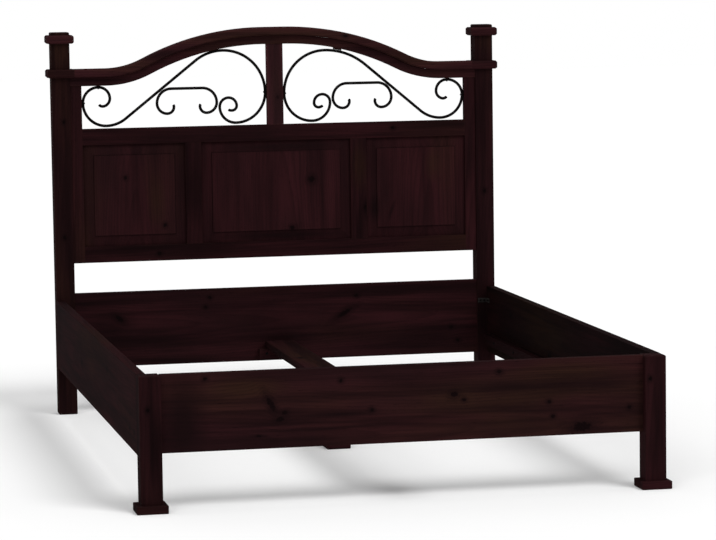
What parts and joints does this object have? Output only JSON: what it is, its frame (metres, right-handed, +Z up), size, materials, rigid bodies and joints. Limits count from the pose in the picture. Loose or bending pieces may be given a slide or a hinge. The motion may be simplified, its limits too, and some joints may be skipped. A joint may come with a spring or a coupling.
{
  "type": "wooden bed",
  "caption": "Double bed with a camel-back headboard of raised panels and iron scrollwork, a low foot end, side rails and a centre rail on a leg; slats and mattress rest inside.",
  "frame": {"origin": "on the floor, under the middle of the bed's bounding box", "axes": "+Z up, +Y from the foot end to the headboard, +X to the right for a viewer at the foot end"},
  "size_m": [1.596, 2.147, 1.335],
  "materials": {
    "stained_pine": "dark red-brown stain, satin lacquer, knotty grain",
    "black_iron": "black painted wrought iron, satin",
    "zinc_steel": "zinc plated",
    "beech": "plain beech"
  },
  "bodies": {
    "root": {"block_screws": "zinc_steel", "brace_screws": "zinc_steel", "centre_leg": "stained_pine", "centre_leg_plinth": "stained_pine", "centre_rail": "stained_pine", "centre_rail_screws": "zinc_steel", "centre_stile": "stained_pine", "cleat_screws": "zinc_steel", "corner_brace_foot_left": "zinc_steel", "corner_brace_foot_right": "zinc_steel", "corner_brace_head_left": "zinc_steel", "corner_brace_head_right": "zinc_steel", "crest_cap": "stained_pine", "crest_collar_left": "stained_pine", "crest_collar_right": "stained_pine", "crest_rail": "stained_pine", "foot_plinth_left": "stained_pine", "foot_plinth_right": "stained_pine", "foot_post_left": "stained_pine", "foot_post_right": "stained_pine", "foot_rail": "stained_pine", "frame_dowels": "beech", "head_board": "stained_pine", "head_post_left": "stained_pine", "head_post_right": "stained_pine", "large_scroll_left": "black_iron", "large_scroll_right": "black_iron", "ledger_block_foot": "stained_pine", "ledger_block_head": "stained_pine", "outer_stile_left": "stained_pine", "outer_stile_right": "stained_pine", "panel_centre": "stained_pine", "panel_left": "stained_pine", "panel_muntin_left": "stained_pine", "panel_muntin_right": "stained_pine", "panel_rail_lower": "stained_pine", "panel_rail_upper": "stained_pine", "panel_right": "stained_pine", "plinth_screws": "zinc_steel", "scroll_screws": "black_iron", "scroll_spacer": "stained_pine", "side_rail_dowels": "beech", "side_rail_left": "stained_pine", "side_rail_right": "stained_pine", "slat_cleat_left": "stained_pine", "slat_cleat_right": "stained_pine", "small_scroll_left": "black_iron", "small_scroll_right": "black_iron", "top_collar_left": "stained_pine", "top_collar_right": "stained_pine"}
  },
  "joints": []
}
